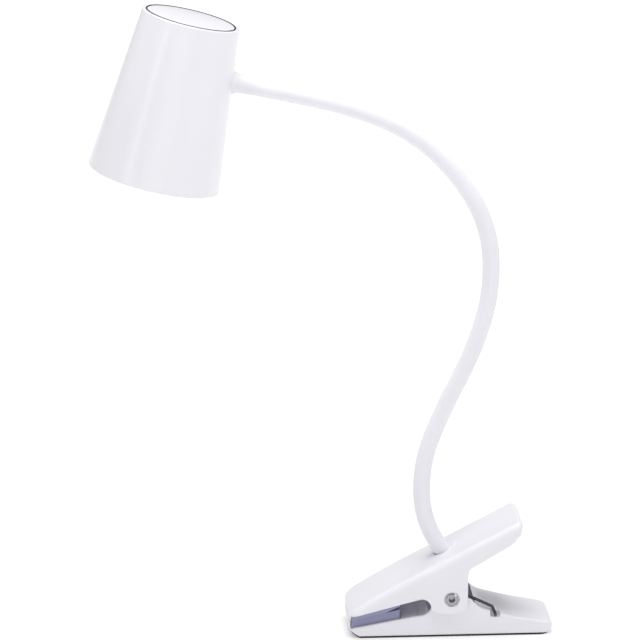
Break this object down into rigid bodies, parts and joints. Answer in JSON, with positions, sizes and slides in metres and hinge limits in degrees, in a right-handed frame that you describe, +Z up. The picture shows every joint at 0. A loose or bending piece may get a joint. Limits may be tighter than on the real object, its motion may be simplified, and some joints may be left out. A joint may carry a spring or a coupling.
{
  "type": "clip-on reading lamp",
  "caption": "White clip-on reading lamp with a conical shade on a gooseneck, standing on the foot of its sprung clip.",
  "frame": {"origin": "on the foot's lower face, straight under the clip's pivot, in the middle plane", "axes": "+Z up from the foot, +X along the clip from the jaw tips to the handles, +Y across the clip"},
  "size_m": [0.2696, 0.0764, 0.3753],
  "materials": {
    "shade_white": "gloss",
    "clip_white": "satin",
    "neck_white": "matte",
    "neck_steel": "oiled",
    "pad_grey": "matte",
    "foot_black": "matte",
    "pin_steel": "satin",
    "spring_steel": "oiled",
    "fastener_steel": "plated",
    "ballast_iron": "rough",
    "cover_plastic": "matte",
    "plate_steel": "plated",
    "board_green": "satin",
    "socket_metal": "plated",
    "switch_black": "matte",
    "led_yellow": "gloss",
    "heat_sink_aluminium": "as cast",
    "reflector_white": "gloss",
    "diffuser_white": "frosted",
    "ring_white": "satin",
    "lead_insulation": "satin"
  },
  "bodies": {
    "base": {"lower_jaw": "clip_white", "base_cover": "plate_steel", "base_screws": "fastener_steel", "ballast_block": "ballast_iron", "foot_pad": "foot_black", "lower_pad": "pad_grey", "pivot_pin": "pin_steel", "pin_cap": "pin_steel", "torsion_spring": "spring_steel"},
    "upper_jaw": {"upper_jaw": "clip_white", "upper_pad": "pad_grey", "clip_stud": "fastener_steel", "clip_washer": "fastener_steel", "clip_nut": "fastener_steel", "inner_cover": "cover_plastic", "cover_screws": "fastener_steel", "power_board": "board_green", "power_socket": "socket_metal", "clip_leads": "lead_insulation", "neck_core_01": "neck_steel", "neck_sleeve_01": "neck_white"},
    "neck_02": {"neck_core_02": "neck_steel", "neck_sleeve_02": "neck_white"},
    "neck_03": {"neck_core_03": "neck_steel", "neck_sleeve_03": "neck_white"},
    "neck_04": {"neck_core_04": "neck_steel", "neck_sleeve_04": "neck_white"},
    "neck_05": {"neck_core_05": "neck_steel", "neck_sleeve_05": "neck_white"},
    "neck_06": {"neck_core_06": "neck_steel", "neck_sleeve_06": "neck_white"},
    "neck_07": {"neck_core_07": "neck_steel", "neck_sleeve_07": "neck_white"},
    "neck_08": {"neck_core_08": "neck_steel", "neck_sleeve_08": "neck_white"},
    "neck_09": {"neck_core_09": "neck_steel", "neck_sleeve_09": "neck_white"},
    "head": {"neck_core_10": "neck_steel", "neck_sleeve_10": "neck_white", "head_collar": "neck_white", "head_stud": "fastener_steel", "head_nut": "fastener_steel", "head_leads": "lead_insulation", "shade_shell": "shade_white", "control_board": "board_green", "push_switch": "switch_black", "board_screws": "fastener_steel", "heat_sink": "heat_sink_aluminium", "led_board": "board_green", "leds": "led_yellow", "reflector": "reflector_white", "diffuser": "diffuser_white", "lens_ring": "ring_white", "module_screws": "fastener_steel"},
    "cap": {"top_cap": "shade_white", "cap_clip": "fastener_steel"}
  },
  "joints": [
    {"name": "jaw_open", "type": "hinge", "parent": "base", "child": "upper_jaw", "pos_m": [0, 0, 0.024], "axis": [0, 1, 0], "range_deg": [0, 35], "stiffness_Nm_per_rad": 0.7, "springref_deg": -45.84, "deforming": ["torsion_spring"]},
    {"name": "neck_bend_01", "type": "hinge", "parent": "upper_jaw", "child": "neck_02", "pos_m": [-0.01645, 0, 0.08173], "axis": [0, 1, 0], "range_deg": [-15, 15]},
    {"name": "neck_swing_02", "type": "hinge", "parent": "neck_02", "child": "neck_03", "pos_m": [-0.01061, 0, 0.11859], "axis": [-0.9336, 0, 0.3584], "range_deg": [-15, 15]},
    {"name": "neck_bend_03", "type": "hinge", "parent": "neck_03", "child": "neck_04", "pos_m": [0.00467, 0, 0.15293], "axis": [0, 1, 0], "range_deg": [-15, 15]},
    {"name": "neck_swing_04", "type": "hinge", "parent": "neck_04", "child": "neck_05", "pos_m": [0.01843, 0, 0.18786], "axis": [-0.9613, 0, 0.2756], "range_deg": [-15, 15]},
    {"name": "neck_bend_05", "type": "hinge", "parent": "neck_05", "child": "neck_06", "pos_m": [0.02267, 0, 0.22505], "axis": [0, 1, 0], "range_deg": [-15, 15]},
    {"name": "neck_swing_06", "type": "hinge", "parent": "neck_06", "child": "neck_07", "pos_m": [0.01209, 0, 0.26076], "axis": [-0.866, 0, -0.5], "range_deg": [-15, 15]},
    {"name": "neck_bend_07", "type": "hinge", "parent": "neck_07", "child": "neck_08", "pos_m": [-0.01148, 0, 0.28986], "axis": [0, 1, 0], "range_deg": [-15, 15]},
    {"name": "neck_swing_08", "type": "hinge", "parent": "neck_08", "child": "neck_09", "pos_m": [-0.0432, 0, 0.30969], "axis": [-0.3746, 0, -0.9272], "range_deg": [-15, 15]},
    {"name": "neck_bend_09", "type": "hinge", "parent": "neck_09", "child": "head", "pos_m": [-0.07903, 0, 0.32098], "axis": [0, 1, 0], "range_deg": [-15, 15]},
    {"name": "switch_press", "type": "slide", "parent": "head", "child": "cap", "axis": [-0.2351, 0, -0.972], "range_m": [0, 0.0008], "stiffness_N_per_m": 1200}
  ]
}
